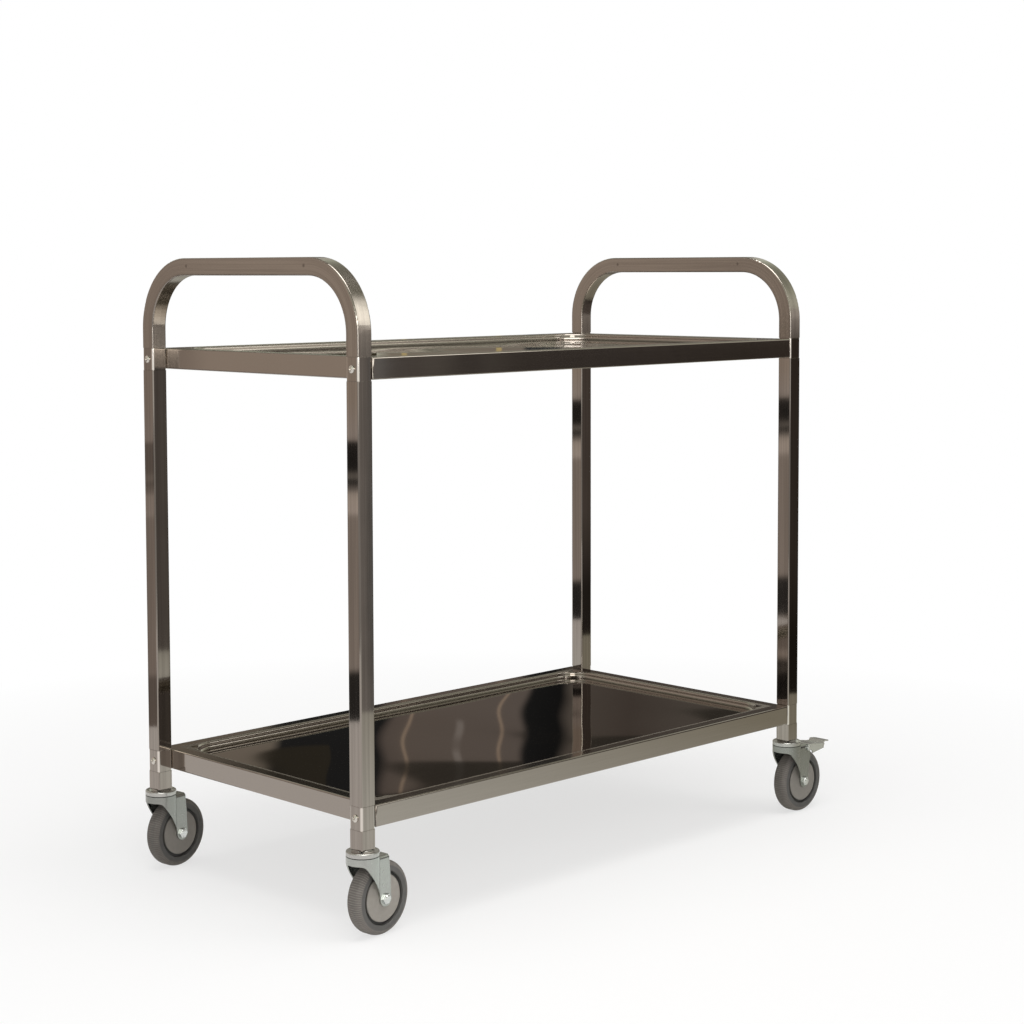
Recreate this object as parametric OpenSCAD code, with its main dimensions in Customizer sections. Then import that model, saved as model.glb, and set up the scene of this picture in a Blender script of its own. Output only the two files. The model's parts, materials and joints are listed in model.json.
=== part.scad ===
// Serving trolley: two pressed trays between four square tubes, a bent tube handle over each end
// and four swivel castors, of which the right pair has brakes.
// Millimetres, Z up, standing on z = 0, with the origin under the middle of the whole outline.

/* [Frame] */
// Length over the outer faces of the corner tubes
frame_length = 950; // [800:1:1200]
// Width over the outer faces of the corner tubes
frame_width = 485.5; // [400:0.5:600]
// Length of the posts that show between the two trays' corner blocks
post_length = 568; // [300:1:700]
// Length of the short tubes between the lower corner blocks and the castors
leg_length = 26.5; // [20:0.5:80]
// Straight part of each handle leg, above the corner block
handle_straight = 29.1; // [27:0.1:120]
// Radius of the handle bends, at the middle of the tube
bend_radius = 90; // [60:1:110]

/* [Square tube] */
// Side of the square tube
tube = 25; // [22:0.5:28]
// Wall of the square tube
tube_wall = 1.5; // [1:0.1:2]
// Outer corner radius of the square tube
tube_corner = 2.2; // [2:0.1:3]

/* [Corner blocks] */
// Height of a corner block
block_height = 32.8; // [28:0.1:45]
// Corner radius of a block
block_corner = 3.5; // [2:0.1:5]
// Depth of the step at the ends of a block, which draws the seam with the tube
seam_depth = 0.4; // [0.1:0.1:1]
// Height of that step
seam_height = 0.6; // [0.2:0.1:1.5]
// Length of the spigots inside the tubes
spigot_length = 25; // [15:1:26]
// Wall of the hollow spigots
spigot_wall = 3; // [2:0.1:5]
// Gap round a spigot in its tube
spigot_gap = 0.1; // [0.05:0.05:0.3]

/* [Trays] */
// Height of a tray's apron
apron_height = 30.2; // [26:0.1:32]
// Thickness of the sheet
sheet = 1; // [0.8:0.1:1.5]
// Height of the blocks' tops over the rim
rim_step = 0.9; // [0.1:0.1:1.5]
// Width of the flat rim
rim_width = 22; // [18:0.5:40]
// Depth of the well
well_depth = 10; // [6:0.5:12]
// Width of the well's sloping wall, seen from above
well_run = 8; // [6:0.5:12]
// Radius of the roll from the rim into the well
lip_radius = 3.5; // [2:0.1:4]
// Corner radius of the well, seen from above
well_corner = 50; // [30:1:80]
// Radius of the folds along the apron
fold_radius = 2.2; // [1.8:0.1:3]
// Corner radius of the tray, seen from above
tray_corner = 3.5; // [2:0.1:5]
// Width of the return flange under the apron
return_flange = 8; // [5:0.5:14]
// Width of the stiffener under the well
stiffener_width = 64; // [50:1:100]
// Height of the stiffener
stiffener_height = 12; // [8:0.5:14]
// Length of the stiffener
stiffener_length = 760; // [500:5:780]

/* [Screws] */
// Diameter of the screws that hold the trays
screw_d = 6; // [4:0.5:8]
// Length of those screws under the head
screw_length = 35; // [34:0.5:45]
// Diameter of the domed head
head_d = 10.5; // [9:0.1:14]
// Height of the domed head
head_height = 3.3; // [2.5:0.1:4]
// Width across the flats of the tray nuts
nut_flats = 10; // [10:0.5:13]
// Diameter of the tray nuts' flange
nut_flange = 14; // [12:0.5:18]

/* [Castors] */
// Radius of the wheel at the middle of the tread
wheel_radius = 51; // [45:0.5:56]
// Width of the tyre
tyre_width = 24.5; // [20:0.5:24.5]
// Inner radius of the tyre, where it sits on the wheel disc
tyre_seat = 37; // [34:0.5:40]
// Radius of the tyre's rounded shoulders
tyre_shoulder = 8; // [6:0.5:10]
// Width of the seat under the tyre
seat_width = 16; // [10:0.5:20]
// Radius of the wheel disc's face
disc_radius = 32.5; // [28:0.5:33]
// Distance of the axle behind the swivel axis
trail = 28.5; // [24:0.5:29]
// Gap between the tyre's top and the fork's crown
crown_clear = 6.5; // [5:0.1:15]
// Radius of the crown and of the cap over it
crown_radius = 23; // [22.5:0.5:26]
// Thickness of the fork's plate
fork_plate = 2.4; // [2:0.1:2.6]
// Radius of the bend between the crown plate and the fork's legs
fork_bend = 5; // [4:0.5:7]
// Height of the crown's skirt under its top
skirt_height = 7.3; // [6:0.1:8.4]
// Reach of the crown plate behind the swivel axis
crown_back = 35.5; // [34:0.1:36]
// Height of the raised bearing ring on the crown
ring_height = 2.4; // [2:0.1:4]
// Gap between the ring and the cap
cap_gap = 1.2; // [0.8:0.1:2]
// Height of the cap's rim
cap_rim = 6.4; // [5.5:0.1:8]
// Height of the flared top of the cap
cap_flare = 2.4; // [1.5:0.1:4]
// Radius of the cap's flat top
cap_flat = 13; // [10:0.5:15]
// Space between the fork's legs at the axle
leg_gap = 26.4; // [26.2:0.1:28]
// Radius of the fork leg round the axle
eye_radius = 10.5; // [9:0.1:11]
// Where the fork's front edge leaves the skirt, ahead of the swivel axis
edge_start = 14.5; // [12:0.5:15]
// Radius of the fillet between the skirt and the fork's front edge
edge_radius = 10; // [6:1:12]
// Turn of the front left castor at rest, degrees
turn_front_left = 5; // [0:1:12]
// Turn of the rear left castor at rest, degrees
turn_rear_left = 7; // [0:1:12]
// Turn of the two braked castors at rest, degrees
turn_right = 0; // [0:1:6]

/* [Castor bearings] */
// Diameter of the stem and of the kingpin
stem_d = 12; // [10:0.5:14]
// Length of the stem above the cap
stem_length = 24.5; // [15:0.5:40]
// Diameter of the bearing balls
ball_d = 6; // [5.5:0.5:6]
// Number of balls in each swivel bearing
ball_count = 14; // [8:1:15]
// Radius of the ring of balls
ball_ring = 16; // [15:0.5:17]
// Diameter of the axle
axle_d = 8; // [6:0.5:10]
// Outer diameter of the spacer that the wheel turns on
bush_d = 12; // [11:0.5:15]
// Running clearance round the axle, the spacer and the kingpin
running_gap = 0.05; // [0.02:0.01:0.1]

/* [Brake] */
// Distance of the pedal's pivot behind the swivel axis
pivot_x = 38; // [37:0.1:39]
// Height of the pivot under the crown plate's top
pivot_drop = 6.4; // [6.2:0.1:7.2]
// Diameter of the pivot pin
pin_d = 5; // [4:0.5:5]
// Gap between the fork's ears and the pedal's flanges
ear_gap = 0.4; // [0.3:0.1:0.6]
// Thickness of the pedal's plate
pedal_plate = 1.8; // [1.2:0.1:2]
// Distance of the pedal's tip behind the swivel axis
pedal_tip = 96.5; // [90:0.5:110]
// Travel of the pedal, degrees
pedal_travel = 10; // [6:0.5:11]
// Gap left between the shoe and the tread with the pedal down
shoe_gap = 0.35; // [0.2:0.05:1]
// Width of the shoe
shoe_width = 15; // [8:0.5:18]

/* [Hidden] */
$fn = 96;

// Heights, stacked from the floor
crown_under = 2 * wheel_radius + crown_clear;
crown_top = crown_under + fork_plate;
ring_top = crown_top + ring_height;
cap_bottom = ring_top + cap_gap;
cap_shoulder = cap_bottom + cap_rim;
cap_top = cap_shoulder + cap_flare;
lower_block = cap_top + leg_length;
post_bottom = lower_block + block_height;
upper_block = post_bottom + post_length;
handle_bottom = upper_block + block_height;
handle_middle = handle_bottom + handle_straight + bend_radius;
lower_rim = post_bottom - rim_step;
upper_rim = handle_bottom - rim_step;

// Plan position of the corner tubes, before the shift that centres the outline
post_x = frame_length / 2 - tube / 2;
post_y = frame_width / 2 - tube / 2;
tube_bore = tube - 2 * tube_wall;

// Fork and pedal outline, about the swivel axis, with the trail along +X
leg_half = leg_gap / 2 + fork_plate;
pedal_half = leg_half + ear_gap + pedal_plate;
lip_half = pedal_half - 2.8;
lip_corner = 4;
pivot_z = crown_top - pivot_drop;
ear_radius = pivot_drop - pedal_plate - 0.2 - ear_gap;
pin_head = 1;
pin_half = pedal_half + pin_head;
hex_reach = 6.5 * axle_d / 8 / cos(30);
axle_head = 3.5;

// How far a point of a castor reaches, after its turn
function reach_x(p, turn) = p[0] * cos(turn) - p[1] * sin(turn);
function reach_y(p, turn) = p[0] * sin(turn) + p[1] * cos(turn);
lip_end = [pedal_tip - lip_corner, lip_half - lip_corner];
head_end = [trail + hex_reach, leg_half + axle_head];
reach_right = lip_corner + reach_x([lip_end[0], -lip_end[1]], turn_right);
tyre_back = [for (turn = [turn_front_left, turn_rear_left])
    (wheel_radius - tyre_shoulder - trail) * cos(turn) + (tyre_width / 2 - tyre_shoulder) * sin(turn) + tyre_shoulder];
reach_left = max(crown_radius, max(tyre_back));
reach_rear = max(crown_radius, reach_y([pivot_x, pin_half], turn_right), lip_corner + reach_y(lip_end, turn_right),
    reach_y(head_end, turn_rear_left));
reach_front = max(crown_radius, -reach_y([pivot_x, -pin_half], turn_right));

// Shift of the frame's middle from the middle of the whole outline
mid_x = (reach_left - reach_right) / 2;
mid_y = (reach_front - reach_rear) / 2;

steel = [0.62, 0.58, 0.54];
zinc = [0.63, 0.65, 0.61];
rubber = [0.35, 0.35, 0.36];
grey = [0.6, 0.58, 0.55];

// Rectangle with round corners, about the origin
module rounded(w, d, r) {
    square([w, d - 2 * r], center = true);
    square([w - 2 * r, d], center = true);
    for (x = [-1, 1], y = [-1, 1])
        translate([x * (w / 2 - r), y * (d / 2 - r)]) circle(r);
}

// Places its children on a corner of the frame: x is -1 left or 1 right, y is -1 front or 1 rear
module at_corner(x, y) {
    translate([mid_x + x * post_x, mid_y + y * post_y, 0]) children();
}

// Stretch of tube along Z, from z0 to z1
module tube_solid(side, r, z0, z1) {
    translate([0, 0, z0]) linear_extrude(z1 - z0) rounded(side, side, r);
}

module square_tube(z0, z1) {
    difference() {
        tube_solid(tube, tube_corner, z0, z1);
        tube_solid(tube_bore, tube_corner - tube_wall, z0 - 1, z1 + 1);
    }
}

module post(x, y) {
    color(steel) at_corner(x, y) square_tube(post_bottom, upper_block);
}

module leg(x, y) {
    color(steel) at_corner(x, y) square_tube(cap_top, lower_block);
}

// The whole path of a handle: two legs, two bends and the bar, along Y at x = 0
module handle_path(side, r, over) {
    bend = handle_middle - bend_radius;
    for (y = [-1, 1])
        translate([0, y * post_y, 0]) {
            tube_solid(side, r, handle_bottom - over, bend);
            translate([0, -y * bend_radius, bend])
                rotate([90, 0, 90])
                    rotate([0, 0, y > 0 ? 0 : 90])
                        rotate_extrude(angle = 90, $fn = 128)
                            translate([bend_radius, 0]) rounded(side, side, r);
        }
    translate([0, 0, handle_middle])
        rotate([90, 0, 0])
            linear_extrude(2 * (post_y - bend_radius), center = true) rounded(side, side, r);
}

module handle(x) {
    color(steel) translate([mid_x + x * post_x, mid_y, 0])
        difference() {
            handle_path(tube, tube_corner, 0);
            handle_path(tube_bore, tube_corner - tube_wall, 1);
        }
}

// Corner block from z0 up, with a stepped seam at both ends and a hole for the tray screw
module block_body(z0) {
    slim = tube - 2 * seam_depth;
    difference() {
        union() {
            tube_solid(tube, block_corner, z0 + seam_height, z0 + block_height - seam_height);
            tube_solid(slim, block_corner - seam_depth, z0, z0 + block_height);
        }
        translate([0, 0, z0 + block_height / 2])
            rotate([0, 90, 0]) cylinder(d = screw_d + 0.4, h = 2 * tube, center = true);
    }
}

spigot = tube_bore - 2 * spigot_gap;

// Hollow spigot, open at its far end; up is 1 above the block and -1 below it
module hollow_spigot(z, up) {
    z0 = up > 0 ? z : z - spigot_length;
    difference() {
        tube_solid(spigot, 1, z0, z0 + spigot_length);
        tube_solid(spigot - 2 * spigot_wall, 0.8, z0 + up * spigot_wall, z0 + up * spigot_wall + spigot_length);
    }
}

module block_upper(x, y) {
    color(steel) at_corner(x, y) {
        block_body(upper_block);
        hollow_spigot(handle_bottom, 1);
        hollow_spigot(upper_block, -1);
    }
}

// The lower spigot of a lower block fills the leg tube and takes the castor's stem
module block_lower(x, y) {
    color(steel) at_corner(x, y) {
        difference() {
            union() {
                block_body(lower_block);
                tube_solid(spigot, 1, cap_top + 0.2, lower_block);
            }
            translate([0, 0, cap_top - 1])
                cylinder(d = stem_d + 2 * running_gap, h = stem_length + 1.5);
        }
        hollow_spigot(post_bottom, 1);
    }
}

// Trays
tray_length = frame_length - 2 * tube;
well_sum = (well_run * well_run + well_depth * well_depth) / (2 * well_depth);
floor_radius = well_sum - lip_radius;
well_half_length = tray_length / 2 - rim_width;
well_half_width = frame_width / 2 - rim_width;

// Point where the lip's arc meets the floor's arc, on the face that lies t under the sheet's top
function well_knee(t) = [
    (lip_radius - t) * well_run / well_sum,
    -lip_radius - (lip_radius - t) * (well_depth - well_sum) / well_sum];

// Section of the well from its edge at x = 0 to x = width, t under the sheet's top face
module well_section(t, width) {
    difference() {
        polygon([[0, 1], [width, 1], [width, -well_depth - t], [well_run, -well_depth - t],
            well_knee(t), [0, -t]]);
        translate([0, -lip_radius]) circle(lip_radius - t);
    }
    translate([well_run, floor_radius - well_depth]) circle(floor_radius + t);
}

// Section across the whole well, about x = 0
module well_across(t, half) {
    for (x = [0, 1])
        mirror([x, 0]) translate([-half, 0]) well_section(t, half);
}

module well(t) {
    long_half = well_half_length - well_corner;
    wide_half = well_half_width - well_corner;
    rotate([90, 0, 90]) linear_extrude(2 * long_half, center = true) well_across(t, well_half_width);
    rotate([90, 0, 0]) linear_extrude(2 * wide_half, center = true) well_across(t, well_half_length);
    for (x = [-1, 1], y = [-1, 1])
        translate([x * long_half, y * wide_half, 0])
            rotate([0, 0, y > 0 ? (x > 0 ? 0 : 90) : (x > 0 ? 270 : 180)])
                rotate_extrude(angle = 90, $fn = 128)
                    translate([well_corner, 0]) mirror([1, 0]) well_section(t, well_corner);
}

// Block with folded edges: the space inside the tray's outer faces, drawn in by t
module folded_box(t) {
    l = tray_length - 2 * t;
    w = frame_width - 2 * t;
    h = apron_height - 2 * t;
    r = fold_radius - t;
    intersection() {
        translate([0, 0, -apron_height]) linear_extrude(apron_height) rounded(l, w, tray_corner - t);
        translate([0, 0, -apron_height / 2]) rotate([90, 0, 90])
            linear_extrude(l + 10, center = true) rounded(w, h, r);
        translate([0, 0, -apron_height / 2]) rotate([90, 0, 0])
            linear_extrude(w + 10, center = true) rounded(l, h, r);
    }
}

module tray(rim) {
    hole_z = handle_bottom - block_height / 2 - upper_rim;
    color(steel) translate([mid_x, mid_y, rim])
        difference() {
            folded_box(0);
            well(0);
            difference() {
                folded_box(sheet);
                well(sheet);
            }
            translate([0, 0, -apron_height])
                cube([tray_length - 2 * return_flange, frame_width - 2 * return_flange, 4 * sheet], center = true);
            for (x = [-1, 1], y = [-1, 1])
                translate([x * tray_length / 2, y * post_y, hole_z])
                    rotate([0, 90, 0]) cylinder(d = screw_d + 0.4, h = 10, center = true);
        }
}

// Hat section under the well, with two flanges against the tray
module stiffener(rim) {
    w = stiffener_width;
    h = stiffener_height;
    foot = w / 5;
    slope = h / 3;
    color(steel) translate([mid_x, mid_y, rim - well_depth - sheet])
        rotate([90, 0, 90]) linear_extrude(stiffener_length, center = true)
            polygon([[-w / 2, 0], [-w / 2 + foot, 0], [-w / 2 + foot + slope, sheet - h],
                [w / 2 - foot - slope, sheet - h], [w / 2 - foot, 0], [w / 2, 0],
                [w / 2, -sheet], [w / 2 - foot + 0.7 * sheet, -sheet],
                [w / 2 - foot - slope + 0.7 * sheet, -h], [-w / 2 + foot + slope - 0.7 * sheet, -h],
                [-w / 2 + foot - 0.7 * sheet, -sheet], [-w / 2, -sheet]]);
}

// Domed screw with a cross recess, its head's seat at x = 0 and its shank along -X
module tray_screw() {
    rise = head_height - 1.2;
    half = head_d / 2;
    dome = (half * half + rise * rise) / (2 * rise);
    rotate([0, 90, 0]) {
        difference() {
            rotate_extrude() intersection() {
                translate([0, head_height - dome]) circle(dome);
                square([half, head_height]);
            }
            for (turn = [0, 90])
                rotate([0, 0, turn]) translate([0, 0, head_height]) cube([head_d / 2, 1.2, 3.6], center = true);
        }
        translate([0, 0, 1 - screw_length]) cylinder(d = screw_d, h = screw_length);
    }
}

// Flanged nut behind the apron, seated at x = 0 and lying along -X
module tray_nut() {
    rotate([0, -90, 0]) difference() {
        union() {
            cylinder(d = nut_flats / cos(30), h = 6, $fn = 6);
            cylinder(d1 = nut_flange, d2 = nut_flange - 1, h = 1.4);
        }
        translate([0, 0, -1]) cylinder(d = screw_d + 2 * running_gap, h = 8);
    }
}

module screws(z) {
    color(steel) for (x = [-1, 1], y = [-1, 1])
        translate([mid_x + x * frame_length / 2, mid_y + y * post_y, z])
            rotate([0, 0, x > 0 ? 0 : 180]) tray_screw();
}

module nuts(z) {
    color(zinc) for (x = [-1, 1], y = [-1, 1])
        translate([mid_x + x * (tray_length / 2 - sheet), mid_y + y * post_y, z])
            rotate([0, 0, x > 0 ? 0 : 180]) tray_nut();
}

// Castor bearing
cap_wall = 2.2;
cap_under = cap_shoulder - cap_wall - 0.2;
ball_z = (ring_top + cap_under) / 2;
washer_radius = 13;
washer_height = 2.8;
rivet_radius = 9;
rivet_height = 2.5;
ball_clear = 0.3;

// Cap, stem, kingpin, thrust washer and riveted head, all fixed to the frame
module castor_head(x, y) {
    flare = crown_radius - 1.5 - cap_flat;
    flare_radius = (flare * flare + cap_flare * cap_flare) / (2 * cap_flare);
    color(zinc) at_corner(x, y) {
        difference() {
            rotate_extrude() {
                translate([0, cap_bottom]) square([crown_radius, cap_rim - 1.6]);
                translate([0, cap_bottom]) square([crown_radius - 1.6, cap_rim]);
                translate([crown_radius - 1.6, cap_shoulder - 1.6]) circle(1.6);
                difference() {
                    polygon([[0, cap_shoulder - 1], [0, cap_top], [cap_flat, cap_top],
                        [cap_flat + flare, cap_shoulder], [cap_flat + flare, cap_shoulder - 1]]);
                    translate([cap_flat + flare, cap_shoulder + flare_radius]) circle(flare_radius);
                }
            }
            translate([0, 0, cap_bottom - 1])
                cylinder(r = crown_radius - cap_wall, h = cap_under - cap_bottom + 1);
            rotate_extrude() translate([ball_ring, ball_z]) circle(ball_d / 2 + running_gap);
        }
        translate([0, 0, crown_under - 0.1 - washer_height - rivet_height]) {
            cylinder(d = stem_d, h = cap_top + stem_length - (crown_under - 0.1 - washer_height - rivet_height));
            cylinder(r1 = rivet_radius - 1.5, r2 = rivet_radius, h = 1);
            translate([0, 0, 1]) cylinder(r = rivet_radius, h = rivet_height - 0.9);
            translate([0, 0, rivet_height]) cylinder(r = washer_radius, h = washer_height);
        }
    }
}

module balls() {
    color(zinc) for (x = [-1, 1], y = [-1, 1])
        at_corner(x, y)
            for (i = [0 : ball_count - 1])
                rotate([0, 0, i * 360 / ball_count])
                    translate([ball_ring, 0, ball_z]) sphere(d = ball_d, $fn = 32);
}

// Turns its children with a castor
module at_castor(x, y, turn) {
    at_corner(x, y) rotate([0, 0, turn]) children();
}

// Section across the fork's box, drawn in by t: two walls under a plate with bent edges
module fork_section(t) {
    half = leg_half - t;
    top = crown_top - t;
    r = fork_bend - t;
    translate([-half, 0]) square([2 * half, top - r]);
    translate([r - half, 0]) square([2 * (half - r), top]);
    for (side = [-1, 1]) translate([side * (half - r), top - r]) circle(r);
}

// Round crown and the box behind it, drawn in by t: where they meet, the skirt turns into a leg at a crease
module fork_shell(t, height) {
    cylinder(r = crown_radius - t, h = height);
    rotate([90, 0, 90]) linear_extrude(100) fork_section(t);
}

// Rear edge of a leg, from the eye up to the crown plate; a braked fork has ears round the pedal's pin
function leg_rear(braked) = braked
    ? [[pivot_x + 3.2, crown_top - 29], [pivot_x + 6.5, crown_top - 20], [pivot_x + ear_radius, pivot_z],
        [pivot_x, pivot_z + ear_radius], [crown_back, pivot_z + ear_radius]]
    : [[crown_back + 1.9, crown_top - 27], [crown_back, crown_top - 8]];

// Side view of the fork: skirt, legs with a slanting front edge, and the eye round the axle
module fork_side(braked) {
    skirt = crown_top - skirt_height;
    front = trail - eye_radius + 2.7;
    slant = atan2(skirt - wheel_radius, front + edge_start);
    half = 90 - slant / 2;
    run = edge_radius / tan(half);
    hub = [-edge_start - run, skirt - edge_radius];
    low = [run * cos(slant) - edge_start, skirt - run * sin(slant)];
    difference() {
        union() {
            translate([-crown_radius - 1, skirt])
                square([crown_back + crown_radius + 1, ring_top + 1 - skirt]);
            polygon(concat([[front, wheel_radius], [trail + eye_radius - 0.3, wheel_radius]], leg_rear(braked),
                [[crown_back, skirt + 2], [-edge_start, skirt + 2], [-edge_start, skirt]]));
            polygon([[4 - edge_start, skirt + 1], [hub[0], skirt + 1], hub, low, [low[0] + 4, low[1]]]);
            translate([trail, wheel_radius]) circle(eye_radius);
            if (braked) translate([pivot_x, pivot_z]) circle(ear_radius);
        }
        translate(hub) circle(edge_radius + 0.08);
    }
}

module fork(x, y, turn, braked) {
    color(zinc) at_castor(x, y, turn)
        difference() {
            intersection() {
                fork_shell(0, ring_top);
                rotate([90, 0, 0]) linear_extrude(200, center = true) fork_side(braked);
            }
            fork_shell(fork_plate, crown_under);
            cylinder(d = stem_d + 2 * running_gap, h = 200);
            rotate_extrude() translate([ball_ring, ball_z]) circle(ball_d / 2 + ball_clear);
            translate([trail, 0, wheel_radius])
                rotate([90, 0, 0]) cylinder(d = axle_d + 2 * running_gap, h = 100, center = true);
            if (braked)
                translate([pivot_x, 0, crown_top - pivot_drop])
                    rotate([90, 0, 0]) cylinder(d = pin_d + 2 * running_gap, h = 100, center = true);
        }
}

// Axle bolt along Y, head on the +Y side and lock nut on the -Y side
module axle(x, y, turn) {
    color(zinc) at_castor(x, y, turn)
        translate([trail, 0, wheel_radius]) rotate([90, 0, 0]) {
            translate([0, 0, -leg_half - axle_head]) cylinder(r = hex_reach, h = axle_head, $fn = 6);
            translate([0, 0, -leg_half - axle_head / 2]) cylinder(d = axle_d, h = 2 * leg_half + axle_head / 2 + 4.8);
            translate([0, 0, leg_half]) cylinder(r = hex_reach, h = 3, $fn = 6);
            translate([0, 0, leg_half + 2.5]) cylinder(d1 = 12 * axle_d / 8, d2 = 10 * axle_d / 8, h = 1.9);
        }
}

module bush(x, y, turn) {
    color(zinc) at_castor(x, y, turn)
        translate([trail, 0, wheel_radius]) rotate([90, 0, 0])
            difference() {
                cylinder(d = bush_d, h = leg_gap, center = true);
                cylinder(d = axle_d + 2 * running_gap, h = leg_gap + 2, center = true);
            }
}

// Wheel disc: hub, slightly domed faces, a groove and the tyre's seat
module wheel_core(x, y, turn) {
    hub = leg_gap / 2 - 0.4;
    face = tyre_width / 2;
    half = [[bush_d / 2 + running_gap, hub], [11, hub], [11.6, face - 0.2], [disc_radius - 3, face - 0.6],
        [disc_radius, face - 1.4], [disc_radius + 0.4, seat_width / 2], [tyre_seat, seat_width / 2]];
    color(grey) at_castor(x, y, turn)
        translate([trail, 0, wheel_radius]) rotate([90, 0, 0])
            rotate_extrude() polygon(concat(
                [for (p = half) p], [for (i = [len(half) - 1 : -1 : 0]) [half[i][0], -half[i][1]]]));
}

// Section of the tyre: a flat tread between two round shoulders, and straight sides down to the seat
module tyre_section() {
    side = tyre_width / 2;
    shoulder = side - tyre_shoulder;
    translate([tyre_seat - 2, -side]) square([wheel_radius - tyre_shoulder - tyre_seat + 2, tyre_width]);
    translate([tyre_seat - 2, -shoulder]) square([wheel_radius - tyre_seat + 2, 2 * shoulder]);
    for (y = [-shoulder, shoulder]) translate([wheel_radius - tyre_shoulder, y]) circle(tyre_shoulder);
}

module tyre(x, y, turn) {
    color(rubber) at_castor(x, y, turn)
        translate([trail, 0, wheel_radius]) rotate([90, 0, 0])
            rotate_extrude(convexity = 4) intersection() {
                tyre_section();
                translate([tyre_seat, -tyre_width / 2]) square([20, tyre_width]);
            }
}

// Pedal plan: the part between the flanges and the lip at the tip
module pedal_plan() {
    front = crown_back + 1;
    translate([front, -pedal_half]) square([pedal_tip - 17 - front, 2 * pedal_half]);
    translate([pedal_tip - 10, 0]) rounded(20, 2 * lip_half, lip_corner);
}

// Side view of the pedal's plate, which drops towards the raised lip
module pedal_side() {
    t = pedal_plate;
    z = crown_top;
    polygon([[crown_back, z - 0.2 - t], [pivot_x + 10.7, z - 0.2 - t], [pedal_tip - 16.3, z - 5.4 - t],
        [pedal_tip - 12.3, z - 0.9 - t], [pedal_tip + 1, z - 2.6 - t], [pedal_tip + 1, z - 2.6],
        [pedal_tip - 13.5, z - 0.9], [pedal_tip - 17.5, z - 5.4], [pivot_x + 10.7, z - 0.2],
        [crown_back, z - 0.2]]);
}

module pedal_flange() {
    z = crown_top;
    polygon([[pivot_x - 3.8, z - 3.4], [pivot_x - 2, z - 5], [pivot_x + 8.5, z - 12.5], [pivot_x + 9, z - 16.2],
        [pedal_tip - 19.3, z - 12.1], [pedal_tip - 17.5, z - 5.4], [pivot_x + 10.7, z - 0.2],
        [pivot_x + 1.6, z - 0.2]]);
    translate([pivot_x, pivot_z]) circle(ear_radius + 0.5);
}

module brake_pedal(y) {
    down = pedal_travel;
    dx = trail - pivot_x;
    dz = wheel_radius - pivot_z;
    color(zinc) at_castor(1, y, turn_right)
        difference() {
            union() {
                intersection() {
                    linear_extrude(200) pedal_plan();
                    rotate([90, 0, 0]) linear_extrude(200, center = true) pedal_side();
                }
                for (side = [0, 1]) mirror([0, side])
                    translate([0, pedal_half, 0]) rotate([90, 0, 0]) linear_extrude(pedal_plate) pedal_flange();
                translate([pivot_x + 12, -shoe_width / 2, crown_top - 18]) cube([10, shoe_width, 15.8]);
            }
            translate([pivot_x + dx * cos(down) - dz * sin(down), 0, pivot_z + dx * sin(down) + dz * cos(down)])
                rotate([90, 0, 0]) cylinder(r = wheel_radius + shoe_gap, h = shoe_width + 2, center = true);
            translate([pivot_x, 0, pivot_z])
                rotate([90, 0, 0]) cylinder(d = pin_d + 2 * running_gap, h = 100, center = true);
        }
}

// Pivot pin with two riveted heads outside the pedal's flanges
module brake_pin(y) {
    color(zinc) at_castor(1, y, turn_right)
        translate([pivot_x, 0, pivot_z]) rotate([90, 0, 0]) {
            cylinder(d = pin_d, h = 2 * pin_half - 1, center = true);
            for (side = [0, 1]) mirror([0, 0, side])
                translate([0, 0, pedal_half + running_gap]) cylinder(d1 = pin_d + 3, d2 = pin_d + 1, h = pin_head - running_gap);
        }
}

screw_z_upper = handle_bottom - block_height / 2;
screw_z_lower = post_bottom - block_height / 2;

handle(-1);  // handle_left
handle(1);  // handle_right
post(-1, -1);  // post_front_left
post(-1, 1);  // post_rear_left
post(1, -1);  // post_front_right
post(1, 1);  // post_rear_right
leg(-1, -1);  // leg_front_left
leg(-1, 1);  // leg_rear_left
leg(1, -1);  // leg_front_right
leg(1, 1);  // leg_rear_right
block_upper(-1, -1);  // block_upper_front_left
block_upper(-1, 1);  // block_upper_rear_left
block_upper(1, -1);  // block_upper_front_right
block_upper(1, 1);  // block_upper_rear_right
block_lower(-1, -1);  // block_lower_front_left
block_lower(-1, 1);  // block_lower_rear_left
block_lower(1, -1);  // block_lower_front_right
block_lower(1, 1);  // block_lower_rear_right
tray(upper_rim);  // upper_tray
tray(lower_rim);  // lower_tray
stiffener(upper_rim);  // upper_stiffener
stiffener(lower_rim);  // lower_stiffener
screws(screw_z_upper);  // upper_screws
screws(screw_z_lower);  // lower_screws
nuts(screw_z_upper);  // upper_nuts
nuts(screw_z_lower);  // lower_nuts
castor_head(-1, -1);  // castor_head_front_left
castor_head(-1, 1);  // castor_head_rear_left
castor_head(1, -1);  // castor_head_front_right
castor_head(1, 1);  // castor_head_rear_right
balls();  // swivel_balls
fork(-1, -1, turn_front_left, false);  // fork_front_left
fork(-1, 1, turn_rear_left, false);  // fork_rear_left
fork(1, -1, turn_right, true);  // fork_front_right
fork(1, 1, turn_right, true);  // fork_rear_right
axle(-1, -1, turn_front_left);  // axle_front_left
axle(-1, 1, turn_rear_left);  // axle_rear_left
axle(1, -1, turn_right);  // axle_front_right
axle(1, 1, turn_right);  // axle_rear_right
bush(-1, -1, turn_front_left);  // bush_front_left
bush(-1, 1, turn_rear_left);  // bush_rear_left
bush(1, -1, turn_right);  // bush_front_right
bush(1, 1, turn_right);  // bush_rear_right
wheel_core(-1, -1, turn_front_left);  // wheel_core_front_left
wheel_core(-1, 1, turn_rear_left);  // wheel_core_rear_left
wheel_core(1, -1, turn_right);  // wheel_core_front_right
wheel_core(1, 1, turn_right);  // wheel_core_rear_right
tyre(-1, -1, turn_front_left);  // tyre_front_left
tyre(-1, 1, turn_rear_left);  // tyre_rear_left
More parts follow.
